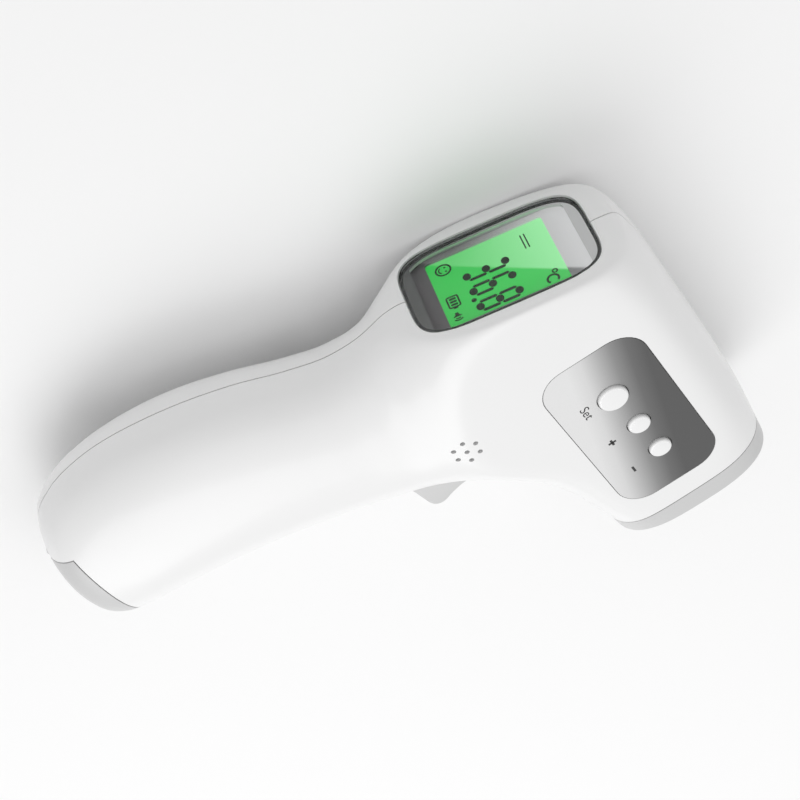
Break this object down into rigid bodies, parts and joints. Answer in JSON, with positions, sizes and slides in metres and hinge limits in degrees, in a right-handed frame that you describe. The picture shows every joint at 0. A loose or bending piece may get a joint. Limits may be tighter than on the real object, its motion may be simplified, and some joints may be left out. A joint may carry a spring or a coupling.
{
  "type": "infrared forehead thermometer",
  "caption": "Pistol-grip infrared thermometer: white two-part housing with a rear display, side buttons, a trigger, a nozzle sensor and a battery compartment in the grip.",
  "frame": {"origin": "centre of the bounding box's bottom face; the thermometer lies on its left side", "axes": "+X forward out of the nozzle, +Y from the grip up to the head's top, +Z out of the right side, which carries the buttons"},
  "size_m": [0.1087, 0.1532, 0.0376],
  "materials": {
    "white_plastic": "satin",
    "light_grey_plastic": "satin",
    "black_plastic": "matte",
    "tinted_window": "clear gloss",
    "lcd_glass": "satin, green lit display",
    "display_frame_grey": "matte",
    "backlight_diffuser": "milky",
    "contact_rubber": "matte",
    "circuit_board_green": "solder mask",
    "silver_label": "silver to dark grey gradient, satin",
    "rating_label_silver": "satin silver film",
    "steel": "bright",
    "nickel_contact": "nickel plated",
    "battery_wrap": "printed film over a metal can",
    "red_insulation": "satin",
    "black_insulation": "satin"
  },
  "bodies": {
    "body": {"right_housing": "white_plastic", "left_housing": "white_plastic", "nozzle_ring": "light_grey_plastic", "sensor_funnel": "black_plastic", "sensor_holder": "steel", "ir_sensor": "steel", "sensor_board": "circuit_board_green", "display_window": "tinted_window", "lcd_frame": "display_frame_grey", "lcd_glass": "lcd_glass", "lcd_backlight": "backlight_diffuser", "upper_contact_strip": "contact_rubber", "lower_contact_strip": "contact_rubber", "display_board": "circuit_board_green", "button_label": "silver_label", "set_switch": "black_plastic", "plus_switch": "black_plastic", "minus_switch": "black_plastic", "main_board": "circuit_board_green", "processor_chip": "black_plastic", "rating_label": "rating_label_silver", "buzzer": "black_plastic", "trigger_pin": "steel", "trigger_switch": "black_plastic", "trigger_board": "circuit_board_green", "battery_tray": "black_plastic", "rear_battery": "battery_wrap", "front_battery": "battery_wrap", "positive_contact": "nickel_contact", "negative_spring": "steel", "positive_lead": "red_insulation", "negative_lead": "black_insulation", "door_pin": "steel", "screw_1": "steel", "screw_2": "steel", "screw_3": "steel", "screw_4": "steel", "screw_5": "steel"},
    "trigger": {"trigger": "light_grey_plastic"},
    "set_button": {"set_button": "white_plastic"},
    "plus_button": {"plus_button": "white_plastic"},
    "minus_button": {"minus_button": "white_plastic"},
    "battery_door": {"battery_door": "light_grey_plastic", "door_contact": "nickel_contact"}
  },
  "joints": [
    {"name": "trigger_pull", "type": "hinge", "parent": "body", "child": "trigger", "pos_m": [0.00701, 0.01878, 0.01886], "axis": [0, 0, -1], "range_deg": [0, 6], "stiffness_Nm_per_rad": 0.4, "springref_deg": -2.86},
    {"name": "set_button_press", "type": "slide", "parent": "body", "child": "set_button", "axis": [-0.0523, 0, -0.9986], "range_m": [0, 0.0005], "stiffness_N_per_m": 1200, "springref_m": -0.0004},
    {"name": "plus_button_press", "type": "slide", "parent": "body", "child": "plus_button", "axis": [-0.0523, 0, -0.9986], "range_m": [0, 0.0005], "stiffness_N_per_m": 1200, "springref_m": -0.0004},
    {"name": "minus_button_press", "type": "slide", "parent": "body", "child": "minus_button", "axis": [-0.0523, 0, -0.9986], "range_m": [0, 0.0005], "stiffness_N_per_m": 1200, "springref_m": -0.0004},
    {"name": "battery_door_hinge", "type": "hinge", "parent": "body", "child": "battery_door", "pos_m": [-0.03829, -0.0742, 0.01886], "axis": [0, 0, -1], "range_deg": [0, 95]}
  ]
}
